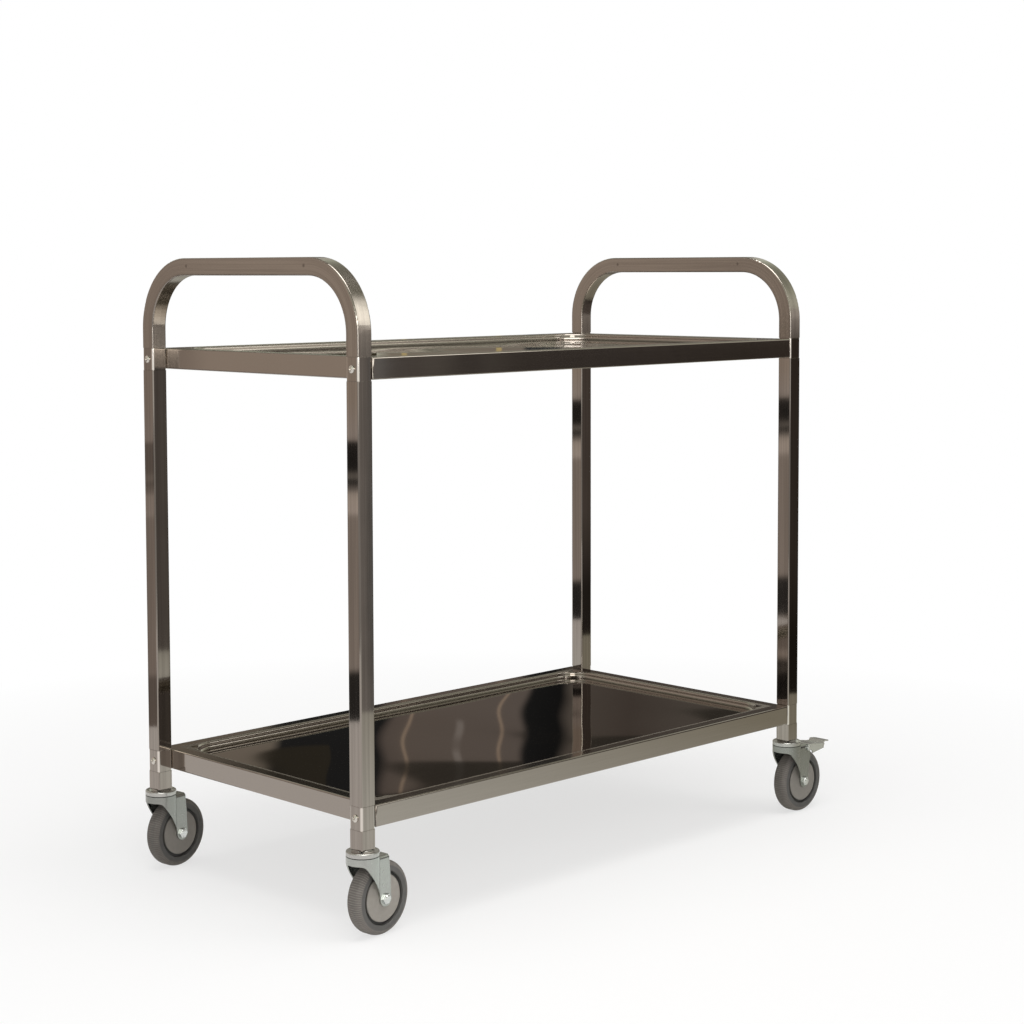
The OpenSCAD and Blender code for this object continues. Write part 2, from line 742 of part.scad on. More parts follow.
tyre(1, -1, turn_right);  // tyre_front_right
tyre(1, 1, turn_right);  // tyre_rear_right
brake_pedal(-1);  // brake_pedal_front
brake_pedal(1);  // brake_pedal_rear
brake_pin(-1);  // brake_pin_front
brake_pin(1);  // brake_pin_rear
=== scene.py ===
"""Serving trolley: looks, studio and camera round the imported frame. Metres, Z up, floor at z = 0."""

import json
import math

import bmesh
import bpy
from mathutils import Matrix, Vector

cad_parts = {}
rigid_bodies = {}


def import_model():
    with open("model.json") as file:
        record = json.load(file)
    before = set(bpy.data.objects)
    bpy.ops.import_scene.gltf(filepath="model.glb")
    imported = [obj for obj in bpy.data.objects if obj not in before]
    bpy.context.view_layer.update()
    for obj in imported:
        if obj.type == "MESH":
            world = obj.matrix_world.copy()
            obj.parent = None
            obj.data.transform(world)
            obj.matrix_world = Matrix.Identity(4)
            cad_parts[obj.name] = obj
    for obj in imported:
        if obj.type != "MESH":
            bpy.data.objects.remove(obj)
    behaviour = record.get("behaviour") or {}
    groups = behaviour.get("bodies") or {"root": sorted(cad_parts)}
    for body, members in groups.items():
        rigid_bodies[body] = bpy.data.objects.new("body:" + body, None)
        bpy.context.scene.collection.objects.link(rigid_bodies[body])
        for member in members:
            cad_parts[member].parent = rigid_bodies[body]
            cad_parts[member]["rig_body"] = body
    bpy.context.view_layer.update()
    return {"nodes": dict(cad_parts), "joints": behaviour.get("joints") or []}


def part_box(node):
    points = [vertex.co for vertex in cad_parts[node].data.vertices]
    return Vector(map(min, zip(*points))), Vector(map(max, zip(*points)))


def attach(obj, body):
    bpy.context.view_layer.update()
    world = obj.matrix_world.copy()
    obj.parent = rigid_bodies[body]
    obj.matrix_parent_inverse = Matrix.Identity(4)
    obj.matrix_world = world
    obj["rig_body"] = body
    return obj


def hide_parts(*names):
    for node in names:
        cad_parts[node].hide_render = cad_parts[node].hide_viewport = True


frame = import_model()
nodes = frame["nodes"]

CORNERS = ("front_left", "rear_left", "front_right", "rear_right")


def centre_of(node):
    """Middle of a node's box at rest."""
    low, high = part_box(node)
    return (low + high) / 2


POST = {corner: centre_of("post_" + corner) for corner in CORNERS}
AXLE = {corner: centre_of("tyre_" + corner) for corner in CORNERS}
MIDDLE = (POST["front_left"] + POST["rear_right"]) / 2

# Side of the square tube, and radius of the handles' bends at the middle of the tube
TUBE = 0.025
BEND = 0.09

# Half sizes of a well's flat floor and of its lip, and the edge that the floor falls towards, off its middle
FLOOR = (0.42, 0.2127)
LIP = (0.431, 0.2237)
FLOOR_EDGE = 0.2125

# The photograph's camera: its place from the middle of the frame, its turns in degrees and its lens
EYE = (-2.2693, -2.3126)
EYE_HEIGHT = 0.9008
EYE_TURNS = (43.652, 3.967, 0.256)
LENS = 73.41
SHIFT = (0.0530, -0.0980)


# Shader helpers

def add(tree, kind, inputs=None, **settings):
    """Adds a shader node; an input's value is a number, a tuple or another node's socket."""
    made = tree.nodes.new("ShaderNode" + kind)
    for name, value in settings.items():
        setattr(made, name, value)
    for name, value in (inputs or {}).items():
        if isinstance(value, bpy.types.NodeSocket):
            tree.links.new(value, made.inputs[name])
        else:
            made.inputs[name].default_value = value
    return made


def maths(tree, operation, a, b=0.0, c=0.0, clamp=False):
    """One Math node; returns its output."""
    return add(tree, "Math", {0: a, 1: b, 2: c}, operation=operation, use_clamp=clamp).outputs[0]


def times(tree, a, b):
    return maths(tree, "MULTIPLY", a, b)


def length(tree, a, b):
    """Length of the slanting side over two straight ones."""
    return maths(tree, "SQRT", maths(tree, "ADD", times(tree, a, a), times(tree, b, b)))


def fade(tree, value, start, end, smooth=False):
    """Goes from 0 to 1 as a value goes from start to end."""
    made = add(tree, "MapRange", {"Value": value, "From Min": start, "From Max": end})
    if smooth:
        made.interpolation_type = "SMOOTHSTEP"
    return made.outputs[0]


def stripe(tree, value, middle, outer, inner):
    """1 within inner of a middle value, fading to 0 at outer."""
    return fade(tree, maths(tree, "ABSOLUTE", maths(tree, "SUBTRACT", value, middle)), outer, inner)


def stretch(tree, value, low, high):
    """Brings a value from 0..1 to low..high."""
    return add(tree, "MapRange", {"Value": value, "To Min": low, "To Max": high}).outputs[0]


def ramp(tree, value, stops, smooth=True):
    """Colour ramp over a value; stops are (place, grey or colour)."""
    made = add(tree, "ValToRGB", {"Fac": value})
    bar = made.color_ramp
    bar.interpolation = "EASE" if smooth else "LINEAR"
    while len(bar.elements) < len(stops):
        bar.elements.new(0.5)
    for element, (place, shade) in zip(bar.elements, stops):
        element.position = place
        grey = (shade, shade, shade) if isinstance(shade, (int, float)) else shade
        element.color = (*grey, 1.0)
    return made.outputs["Color"]


def blend(tree, factor, a, b):
    """Mixes two colours by a factor; returns the colour."""
    made = add(tree, "Mix", data_type="RGBA")
    for slot, value in ((0, factor), (6, a), (7, b)):
        if isinstance(value, bpy.types.NodeSocket):
            tree.links.new(value, made.inputs[slot])
        else:
            made.inputs[slot].default_value = (*value, 1.0) if slot else value
    return made.outputs[2]


def place(tree, middle=(0.0, 0.0, 0.0), scale=(1.0, 1.0, 1.0), turn=(0.0, 0.0, 0.0)):
    """Object coordinates about a middle, turned and scaled."""
    coords = add(tree, "TexCoord").outputs["Object"]
    moved = add(tree, "VectorMath", {0: coords, 1: tuple(middle)}, operation="SUBTRACT").outputs[0]
    return add(tree, "Mapping", {"Vector": moved, "Rotation": turn, "Scale": scale}).outputs[0]


def parts_of(tree, middle=(0.0, 0.0, 0.0)):
    """X, Y and Z of the Object coordinates about a middle."""
    return add(tree, "SeparateXYZ", {"Vector": place(tree, middle)}).outputs


def noise(tree, vector, scale, detail=2.0, rough=0.5, warp=0.0):
    """Noise texture; returns its factor."""
    return add(tree, "TexNoise", {"Vector": vector, "Scale": scale, "Detail": detail, "Roughness": rough,
                                  "Distortion": warp}).outputs["Fac"]


def group(name, ins, outs):
    """Empty node group with named sockets; returns it with its input and output nodes."""
    tree = bpy.data.node_groups.new(name, "ShaderNodeTree")
    for socket, kind in ins:
        tree.interface.new_socket(socket, in_out="INPUT", socket_type="NodeSocket" + kind)
    for socket, kind in outs:
        tree.interface.new_socket(socket, in_out="OUTPUT", socket_type="NodeSocket" + kind)
    return tree, tree.nodes.new("NodeGroupInput").outputs, tree.nodes.new("NodeGroupOutput").inputs


def use(tree, made, inputs):
    """Places a node group in a material."""
    node = add(tree, "Group", node_tree=made)
    for name, value in inputs.items():
        if isinstance(value, bpy.types.NodeSocket):
            tree.links.new(value, node.inputs[name])
        else:
            node.inputs[name].default_value = value
    return node.outputs


def make_polish_group():
    """Polishing lines along one axis, faint clouding and a few scratches."""
    tree, ins, outs = group("Polish", [("Lines", "Vector"), ("Plain", "Vector"), ("Depth", "Float")],
                            [("Tone", "Float"), ("Rough", "Float"), ("Normal", "Vector")])
    lines = noise(tree, ins["Lines"], 1.0, 3.0, 0.65)
    cloud = noise(tree, ins["Plain"], 9.0, 3.0, 0.55)
    smear = noise(tree, ins["Plain"], 34.0, 4.0, 0.6, 0.6)
    scratch = ramp(tree, noise(tree, ins["Lines"], 0.37, 5.0, 0.8), [(0.66, 0.0), (0.74, 1.0)])
    tone = maths(tree, "MULTIPLY_ADD", lines, 0.55, 0.58)
    tone = times(tree, tone, maths(tree, "ADD", times(tree, cloud, 0.16), 0.92))
    tree.links.new(tone, outs["Tone"])
    rough = maths(tree, "ADD", times(tree, smear, 0.6), times(tree, lines, 0.4))
    rough = maths(tree, "ADD", rough, times(tree, scratch, 0.35), clamp=True)
    tree.links.new(rough, outs["Rough"])
    height = maths(tree, "ADD", times(tree, lines, 0.5), times(tree, scratch, -0.25))
    bump = add(tree, "Bump", {"Height": height, "Distance": 0.00002, "Strength": ins["Depth"]})
    tree.links.new(bump.outputs[0], outs["Normal"])
    return tree


POLISH = make_polish_group()
# Lines per metre along and across the polish, for lines that run along X or Z
AXES = {"X": (10.0, 900.0, 900.0), "Z": (900.0, 900.0, 10.0)}


def new_material(name, **fixed):
    """Material with its Principled shader; fixed values go straight on the shader's sockets."""
    made = bpy.data.materials.new(name)
    made.use_nodes = True
    shader = made.node_tree.nodes["Principled BSDF"]
    for socket, value in fixed.items():
        shader.inputs[socket.replace("_", " ")].default_value = value
    return made, made.node_tree, shader


def feed(tree, shader, **sockets):
    """Links sockets to the shader's inputs of the same names."""
    for name, socket in sockets.items():
        tree.links.new(socket, shader.inputs[name.replace("_", " ")])


STEEL = (0.375, 0.338, 0.303)
STEEL_DEEP = (0.255, 0.228, 0.202)
STEEL_DARK = (0.19, 0.166, 0.145)


def tube_steel(name, rough=(0.02, 0.075), depth=0.22, course=place):
    """Polished stainless tube; its polishing lines follow the third coordinate of its course."""
    made, tree, shader = new_material(name, Metallic=1.0)
    lines = add(tree, "Mapping", {"Vector": course(tree), "Scale": AXES["Z"]}).outputs[0]
    polish = use(tree, POLISH, {"Lines": lines, "Plain": place(tree), "Depth": depth})
    stripes = ramp(tree, noise(tree, lines, 0.32, 2.0, 0.6), [(0.34, 0.0), (0.66, 1.0)])
    fine = blend(tree, polish["Tone"], STEEL_DEEP, STEEL)
    feed(tree, shader,
         Base_Color=blend(tree, times(tree, stripes, 0.34), fine, STEEL_DARK),
         Roughness=stretch(tree, polish["Rough"], rough[0], rough[1]),
         Normal=polish["Normal"])
    return made


def within(tree, spot, half):
    """1 inside a rectangle of the given half sizes round the middle of a tray."""
    inside_x = maths(tree, "LESS_THAN", maths(tree, "ABSOLUTE", spot[0]), half[0])
    inside_y = maths(tree, "LESS_THAN", maths(tree, "ABSOLUTE", spot[1]), half[1])
    return times(tree, inside_x, inside_y)


def fall(tree, past, reach, depth):
    """Height of a sheet that falls towards an edge; past is the way past it, less than 0 before it."""
    before = maths(tree, "MINIMUM", past, 0.0)
    return times(tree, maths(tree, "EXPONENT", maths(tree, "DIVIDE", before, reach)), -depth)


def tray_steel(name):
    """Tray sheet: mirror polish on the floor of the well, softer on rim and apron, dull on the wall between.

    The floor isn't quite flat: it falls a little along its long edges and has two long shallow waves.
    """
    made, tree, shader = new_material(name, Metallic=1.0)
    lines = place(tree, scale=AXES["X"])
    polish = use(tree, POLISH, {"Lines": lines, "Plain": place(tree), "Depth": 0.02})
    spot = parts_of(tree, MIDDLE)
    well = within(tree, spot, FLOOR)
    lip = within(tree, spot, LIP)
    rough = stretch(tree, polish["Rough"], 0.05, 0.12)
    mirror = stretch(tree, polish["Rough"], 0.015, 0.06)
    rough = add(tree, "Mix", {0: lip, 2: rough, 3: 0.24}, data_type="FLOAT").outputs[0]
    mixed = add(tree, "Mix", {0: well, 2: rough, 3: mirror}, data_type="FLOAT").outputs[0]
    back = fall(tree, maths(tree, "SUBTRACT", spot[1], FLOOR_EDGE), 0.04, 0.0014)
    front = fall(tree, maths(tree, "SUBTRACT", -FLOOR_EDGE, spot[1]), 0.03, 0.00022)
    height = maths(tree, "ADD", back, front)
    for ahead, across, start, tall in ((22.0, 8.0, -0.4, 0.00030), (23.0, -17.0, 1.9, 0.00004)):
        phase = maths(tree, "ADD", times(tree, spot[0], ahead), times(tree, spot[1], across))
        wave = maths(tree, "SINE", maths(tree, "ADD", phase, start))
        height = maths(tree, "ADD", height, times(tree, wave, tall))
    sheet = add(tree, "Bump", {"Height": height, "Distance": 1.0, "Strength": well,
                               "Normal": polish["Normal"]})
    feed(tree, shader, Base_Color=blend(tree, polish["Tone"], STEEL_DEEP, STEEL), Roughness=mixed,
         Normal=sheet.outputs[0])
    return made


def round_handle(tree):
    """Course of a handle tube: (x, distance off the inner corner, way along leg, bend and bar)."""
    low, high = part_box("handle_left")
    straight = (high.y - low.y - TUBE) / 2 - BEND
    middle = (0.0, (low.y + high.y) / 2, high.z - TUBE / 2 - BEND)
    spot = parts_of(tree, middle)
    out = maths(tree, "SUBTRACT", maths(tree, "ABSOLUTE", spot[1]), straight)
    past = maths(tree, "MAXIMUM", out, 0.0)
    above = maths(tree, "MAXIMUM", spot[2], 0.0)
    way = times(tree, maths(tree, "ARCTAN2", past, above), BEND)
    way = maths(tree, "ADD", way, maths(tree, "SUBTRACT", out, past))
    way = maths(tree, "ADD", way, maths(tree, "SUBTRACT", above, spot[2]))
    way = times(tree, maths(tree, "ADD", way, straight), maths(tree, "SIGN", spot[1]))
    return add(tree, "CombineXYZ", {0: spot[0], 1: length(tree, past, above), 2: way}).outputs[0]


def handle_steel(side):
    """Handle tube, brushed more softly, with two small pressed marks on the grip beside the bends, bumped in
    and darkened with painted shade.
    """
    mark_y = 0.1325
    mark_lift = 0.001
    made = tube_steel("handle_steel_" + side, (0.13, 0.26), 0.12, round_handle)
    tree = made.node_tree
    shader = tree.nodes["Principled BSDF"]
    low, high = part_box("handle_" + side)
    middle = (0.0, (low.y + high.y) / 2, high.z - TUBE / 2 + mark_lift)
    spot = parts_of(tree, middle)
    beside = maths(tree, "SUBTRACT", maths(tree, "ABSOLUTE", spot[1]), mark_y)
    mark = fade(tree, length(tree, beside, spot[2]), 0.0036, 0.0008, smooth=True)
    plain = shader.inputs["Base Color"].links[0].from_socket
    dent = add(tree, "Bump", {"Height": mark, "Distance": -0.0003, "Strength": 0.6,
                              "Normal": shader.inputs["Normal"].links[0].from_socket})
    # Painted shade: the pressed marks are darkened towards dark steel.
    marks_painted_shade = blend(tree, times(tree, mark, 0.75), plain, (0.14, 0.12, 0.105))
    feed(tree, shader, Base_Color=marks_painted_shade, Normal=dent.outputs[0])
    return made


def block_steel(corner):
    """Corner casting: steel as on the tubes, with a painted highlight along its upright edges."""
    made = tube_steel("block_steel_" + corner)
    tree = made.node_tree
    shader = tree.nodes["Principled BSDF"]
    spot = parts_of(tree, POST[corner])
    reach = maths(tree, "ADD", maths(tree, "ABSOLUTE", spot[0]), maths(tree, "ABSOLUTE", spot[1]))
    edge = fade(tree, reach, 0.0215, 0.0228)
    plain = shader.inputs["Base Color"].links[0].from_socket
    # Painted highlight: the rounded upright edges are blended towards near white.
    feed(tree, shader, Base_Color=blend(tree, times(tree, edge, 0.85), plain, (0.85, 0.80, 0.74)))
    return made


def dimmed(tint, shade):
    """A colour darkened by a factor."""
    return tuple(number * shade for number in tint)


def zinc(name, tint=(0.47, 0.49, 0.465)):
    """Bright zinc plating with soft clouds and a slight grain."""
    made, tree, shader = new_material(name, Metallic=0.92)
    cloud = noise(tree, place(tree), 70.0, 4.0, 0.6, 0.4)
    grain = noise(tree, place(tree), 900.0, 2.0, 0.6)
    colour = blend(tree, maths(tree, "ADD", cloud, 0.5), dimmed(tint, 0.7), tint)
    bump = add(tree, "Bump", {"Height": grain, "Distance": 0.00004, "Strength": 0.35})
    feed(tree, shader, Base_Color=colour, Normal=bump.outputs[0],
         Roughness=stretch(tree, cloud, 0.16, 0.34))
    return made


def around_axle(tree, corner):
    """Coordinates round a wheel's axle: the angle in radians and the distance."""
    turn = TURN[corner]
    parts = parts_of(tree, AXLE[corner])
    ahead = maths(tree, "ADD", times(tree, parts[0], math.cos(turn)), times(tree, parts[1], math.sin(turn)))
    return maths(tree, "ARCTAN2", parts[2], ahead), length(tree, ahead, parts[2])


def castor_turns():
    """Turn of each castor at rest, from its rolling joint's axis."""
    turns = {}
    for joint in frame["joints"]:
        if joint["name"].startswith("roll_"):
            axis = joint["axis"]
            turns[joint["name"][5:]] = math.atan2(-axis[0], axis[1])
    return turns


TURN = castor_turns()

# Ribs round a tyre's tread
RIBS = 96


def tyre_rubber(corner):
    """Grey rubber with fine ribs across the tread and a dusty tread; the tyres of the other corners carry
    painted shade, so the front left tyre is the palest.
    """
    made, tree, shader = new_material("tyre_rubber_" + corner, Specular_IOR_Level=0.3)
    angle, far = around_axle(tree, corner)
    rib = maths(tree, "SINE", times(tree, angle, RIBS))
    tread = fade(tree, far, 0.0435, 0.0450)
    rib = times(tree, maths(tree, "MULTIPLY_ADD", rib, 0.5, 0.5), tread)
    dust = noise(tree, place(tree), 120.0, 4.0, 0.6)
    # Painted shade: every tyre but the front left one is darkened, as if out of the light.
    shade = 1.0 if corner == "front_left" else 0.82
    side = blend(tree, dust, dimmed((0.100, 0.098, 0.095), shade), dimmed((0.150, 0.147, 0.141), shade))
    worn = blend(tree, dust, dimmed((0.180, 0.165, 0.150), shade), dimmed((0.290, 0.268, 0.246), shade))
    worn = blend(tree, times(tree, rib, 0.55), worn, (0.085, 0.078, 0.072))
    colour = blend(tree, tread, side, worn)
    height = maths(tree, "ADD", rib, times(tree, dust, 0.25))
    bump = add(tree, "Bump", {"Height": height, "Distance": 0.0004, "Strength": 0.8})
    feed(tree, shader, Base_Color=colour, Normal=bump.outputs[0],
         Roughness=stretch(tree, dust, 0.55, 0.8))
    return made


def disc_plastic(corner):
    """Warm grey moulded disc with painted shade in the groove under the tyre; the discs of the other corners
    carry painted shade, so the front left disc is the palest.
    """
    made, tree, shader = new_material("disc_plastic_" + corner, Specular_IOR_Level=0.4)
    far = around_axle(tree, corner)[1]
    groove = fade(tree, far, 0.0322, 0.0330)
    mottle = noise(tree, place(tree), 180.0, 3.0, 0.6)
    # Painted shade: every disc but the front left one is darkened, as if out of the light.
    shade = 1.0 if corner == "front_left" else 0.74
    face = blend(tree, mottle, dimmed((0.30, 0.28, 0.252), shade), dimmed((0.38, 0.355, 0.322), shade))
    bump = add(tree, "Bump", {"Height": mottle, "Distance": 0.0001, "Strength": 0.3})
    # Painted shade: the groove under the tyre is near black.
    colour = blend(tree, groove, face, (0.035, 0.034, 0.033))
    feed(tree, shader, Base_Color=colour, Normal=bump.outputs[0],
         Roughness=stretch(tree, mottle, 0.42, 0.6))
    return made


# Pieces: a softened copy of each node, dressed in its material


def softened(node, width=0.0003, segments=2, smooth=35.0):
    """Copy of a CAD node with merged points, softened edges and smooth curves, which stands for it."""
    name = node + "_finished"
    mesh = bpy.data.meshes.new(name)
    work = bmesh.new()
    work.from_mesh(nodes[node].data)
    bmesh.ops.remove_doubles(work, verts=work.verts, dist=0.000002)
    bmesh.ops.dissolve_limit(work, angle_limit=math.radians(0.3), verts=work.verts, edges=work.edges)
    work.to_mesh(mesh)
    work.free()
    piece = bpy.data.objects.new(name, mesh)
    bpy.context.scene.collection.objects.link(piece)
    mesh.shade_smooth()
    mesh.set_sharp_from_angle(angle=math.radians(smooth))
    if width:
        bevel = piece.modifiers.new("Soft edges", "BEVEL")
        bevel.width = width
        bevel.segments = segments
        bevel.limit_method = "ANGLE"
        bevel.angle_limit = math.radians(smooth)
        bevel.harden_normals = False
    even = piece.modifiers.new("Even shading", "WEIGHTED_NORMAL")
    even.keep_sharp = True
    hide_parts(node)
    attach(piece, nodes[node]["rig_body"])
    return piece


def dress(piece, material):
    """Gives a piece its only material."""
    piece.data.materials.clear()
    piece.data.materials.append(material)


UPRIGHT = tube_steel("tube_steel_upright")
TRAY = tray_steel("tray_steel")
CAST = zinc("zinc_plate")
# Painted shade: a darker copy of the zinc, for the forks that stand out of the light.
ZINC_SHADED = zinc("zinc_painted_shade", (0.33, 0.34, 0.32))
BRIGHT = zinc("zinc_bright", (0.72, 0.74, 0.73))
HEAD = zinc("zinc_head", (0.52, 0.52, 0.50))
SCREW = zinc("screw_steel", (0.72, 0.69, 0.64))

for corner in CORNERS:
    for part in ("post_", "leg_"):
        dress(softened(part + corner, 0.00012), UPRIGHT)
    block = block_steel(corner)
    for part in ("block_upper_", "block_lower_"):
        dress(softened(part + corner, 0.00012), block)
    dress(softened("castor_head_" + corner, 0.0003), HEAD)
    # The front left fork has the plain zinc; the others have the painted shade copy.
    dress(softened("fork_" + corner, 0.0004), CAST if corner == "front_left" else ZINC_SHADED)
    dress(softened("axle_" + corner, 0.0003), BRIGHT)
    dress(softened("bush_" + corner, 0.0), BRIGHT)
    dress(softened("tyre_" + corner, 0.0008, 3), tyre_rubber(corner))
    dress(softened("wheel_core_" + corner, 0.0004), disc_plastic(corner))
for side in ("left", "right"):
    dress(softened("handle_" + side, 0.0002), handle_steel(side))
for level in ("upper", "lower"):
    dress(softened(level + "_tray", 0.0), TRAY)
    dress(softened(level + "_stiffener", 0.0003), TRAY)
    dress(softened(level + "_screws", 0.0002), SCREW)
    dress(softened(level + "_nuts", 0.0002), BRIGHT)
for side in ("front", "rear"):
    dress(softened("brake_pedal_" + side, 0.0005), BRIGHT)
    dress(softened("brake_pin_" + side, 0.0002), BRIGHT)
dress(nodes["swivel_balls"], BRIGHT)


# Studio

def glossy_only(piece):
    """A studio flag that only mirrors see."""
    piece.visible_camera = False
    piece.visible_diffuse = False
    piece.visible_shadow = False
    piece.visible_transmission = False
    piece.visible_volume_scatter = False


def stand(name, work):
    """Stands a bmesh in the studio with a bare material; returns the piece and the material's tree."""
    mesh = bpy.data.meshes.new(name)
    work.to_mesh(mesh)
    work.free()
    piece = bpy.data.objects.new(name, mesh)
    bpy.context.scene.collection.objects.link(piece)
    material = bpy.data.materials.new(name)
    material.use_nodes = True
    material.node_tree.nodes.clear()
    mesh.materials.append(material)
    return piece, material.node_tree


def seen_by(light):
    """1 for rays from the camera, or from mirrors and glass."""
    tree = light["Is Camera Ray"].id_data
    clear = maths(tree, "MAXIMUM", light["Is Glossy Ray"], light["Is Transmission Ray"])
    return maths(tree, "MAXIMUM", light["Is Camera Ray"], clear)


def make_floor():
    """White floor that keeps the trolley's shadow; the steel sees it dimmer towards the right."""
    work = bmesh.new()
    bmesh.ops.create_grid(work, x_segments=1, y_segments=1, size=30.0)
    piece, tree = stand("studio_floor", work)
    reach = add(tree, "VectorMath", {0: place(tree)}, operation="LENGTH").outputs["Value"]
    away = stretch(tree, fade(tree, reach, 0.5, 1.6), 0.66, 1.0)
    light = add(tree, "LightPath").outputs
    card = add(tree, "BsdfDiffuse", {"Color": (0.90, 0.90, 0.90, 1.0)}).outputs[0]
    white = add(tree, "Emission", {"Color": (1.0, 1.0, 1.0, 1.0), "Strength": 1.0}).outputs[0]
    bare = times(tree, away, seen_by(light))
    open_floor = add(tree, "MixShader", {0: bare, 1: card, 2: white}).outputs[0]
    spot = parts_of(tree, MIDDLE)
    shade = ramp(tree, fade(tree, spot[0], -0.6, 1.0), [
        (0.0, (0.84, 0.81, 0.79)), (0.32, (0.88, 0.90, 0.86)), (1.0, (0.43, 0.41, 0.33))], smooth=False)
    left = maths(tree, "LESS_THAN", spot[0], -1.09)
    back = maths(tree, "GREATER_THAN", spot[1], 0.9)
    shade = blend(tree, times(tree, left, back), shade, (0.30, 0.26, 0.23))
    mirrored = add(tree, "Emission", {"Color": shade, "Strength": 1.0}).outputs[0]
    mixed = add(tree, "MixShader", {0: light["Is Glossy Ray"], 1: open_floor, 2: mirrored}).outputs[0]
    add(tree, "OutputMaterial", {"Surface": mixed})


def standing_panel(name, left, right, high):
    """An upright flag between two spots on the floor, seen only in the steel; returns its shader tree."""
    work = bmesh.new()
    foot = work.edges.new([work.verts.new((*spot, 0.0)) for spot in (left, right)])
    made = bmesh.ops.extrude_edge_only(work, edges=[foot])["geom"]
    raised = [part for part in made if isinstance(part, bmesh.types.BMVert)]
    bmesh.ops.translate(work, vec=(0, 0, high), verts=raised)
    piece, tree = stand(name, work)
    glossy_only(piece)
    return tree


def glow(tree, shade, strength=1.0):
    """Makes a flag glow by itself in a shade."""
    light = add(tree, "Emission", {"Color": shade, "Strength": strength}).outputs[0]
    add(tree, "OutputMaterial", {"Surface": light})


def make_left_panel():
    """Shelves to the left: what the left faces of the posts and handles mirror."""
    tree = standing_panel("left_panel", (-1.66, 0.593), (-0.42, 1.554), 2.4)
    spot = parts_of(tree)
    wobble = maths(tree, "SUBTRACT", noise(tree, place(tree), 2.3, 1.0, 0.5), 0.5)
    high = maths(tree, "ADD", spot[2], times(tree, wobble, 0.02))
    shade = ramp(tree, maths(tree, "DIVIDE", high, 1.6), [
        (0.000, 0.03), (0.060, 0.03), (0.066, (0.50, 0.44, 0.40)), (0.150, (0.47, 0.41, 0.37)),
        (0.257, (0.46, 0.40, 0.36)), (0.2625, (0.84, 0.75, 0.69)), (0.2700, (0.78, 0.69, 0.63)),
        (0.2710, (0.22, 0.19, 0.17)), (0.2722, (0.22, 0.19, 0.17)), (0.2735, (0.82, 0.73, 0.66)),
        (0.2855, (0.70, 0.62, 0.56)), (0.2895, (0.30, 0.27, 0.25)), (0.2960, (0.12, 0.11, 0.10)),
        (0.2975, 0.03), (0.3025, 0.03), (0.3040, (0.24, 0.22, 0.20)), (0.3110, (0.24, 0.22, 0.20)),
        (0.3130, 0.015), (0.3480, 0.013), (0.3520, (0.60, 0.53, 0.49)), (0.36, (0.62, 0.55, 0.51)),
        (0.40, (0.58, 0.49, 0.42)), (0.62, (0.62, 0.53, 0.46)), (1.0, (0.56, 0.48, 0.42))], smooth=False)
    streak = noise(tree, place(tree, scale=(6.0, 6.0, 0.5)), 3.0, 3.0, 0.6)
    pale = stripe(tree, spot[0], -1.075, 0.065, 0.035)
    faded = blend(tree, times(tree, pale, 0.62), shade, (0.36, 0.30, 0.265))
    glow(tree, blend(tree, times(tree, streak, 0.16), faded, (0.22, 0.19, 0.17)), 1.05)


def make_right_panel():
    """Dark furniture to the right: what the front aprons and the right faces of the posts mirror."""
    tree = standing_panel("right_panel", (0.02, -1.61), (2.9, 0.27), 1.02)
    spot = parts_of(tree)
    wobble = maths(tree, "SUBTRACT", noise(tree, place(tree), 2.6, 2.0, 0.5), 0.5)
    along = maths(tree, "DIVIDE", maths(tree, "SUBTRACT", spot[0], 0.24), 1.6)
    along = maths(tree, "ADD", along, times(tree, wobble, 0.012))
    shade = ramp(tree, along, [
        (0.00, (0.36, 0.34, 0.32)), (0.132, (0.33, 0.31, 0.295)), (0.136, (0.10, 0.095, 0.09)),
        (0.141, (0.34, 0.35, 0.36)), (0.147, (0.30, 0.31, 0.32)), (0.152, (0.14, 0.13, 0.125)),
        (0.185, (0.145, 0.13, 0.12)), (0.205, (0.175, 0.16, 0.145)), (0.225, (0.11, 0.10, 0.09)),
        (0.240, (0.07, 0.06, 0.055)), (0.262, (0.12, 0.11, 0.10)), (0.29, (0.075, 0.065, 0.058)),
        (0.40, (0.07, 0.06, 0.055)), (0.54, (0.055, 0.045, 0.038)), (0.62, (0.06, 0.048, 0.038)),
        (0.68, (0.12, 0.10, 0.09)), (0.80, (0.15, 0.125, 0.11)), (1.0, (0.17, 0.15, 0.13))], smooth=False)
    mottle = noise(tree, place(tree, scale=(1.0, 1.0, 2.2)), 5.5, 3.0, 0.6)
    shade = blend(tree, times(tree, mottle, 0.4), shade, (0.05, 0.045, 0.042))
    right = maths(tree, "GREATER_THAN", along, 0.5)
    down = fade(tree, spot[2], 0.30, 0.12)
    dim = times(tree, down, times(tree, right, 0.8))
    shade = blend(tree, dim, shade, (0.012, 0.01, 0.008))
    up = fade(tree, spot[2], 0.755, 0.80)
    glow(tree, blend(tree, up, shade, (0.60, 0.56, 0.52)), 1.15)


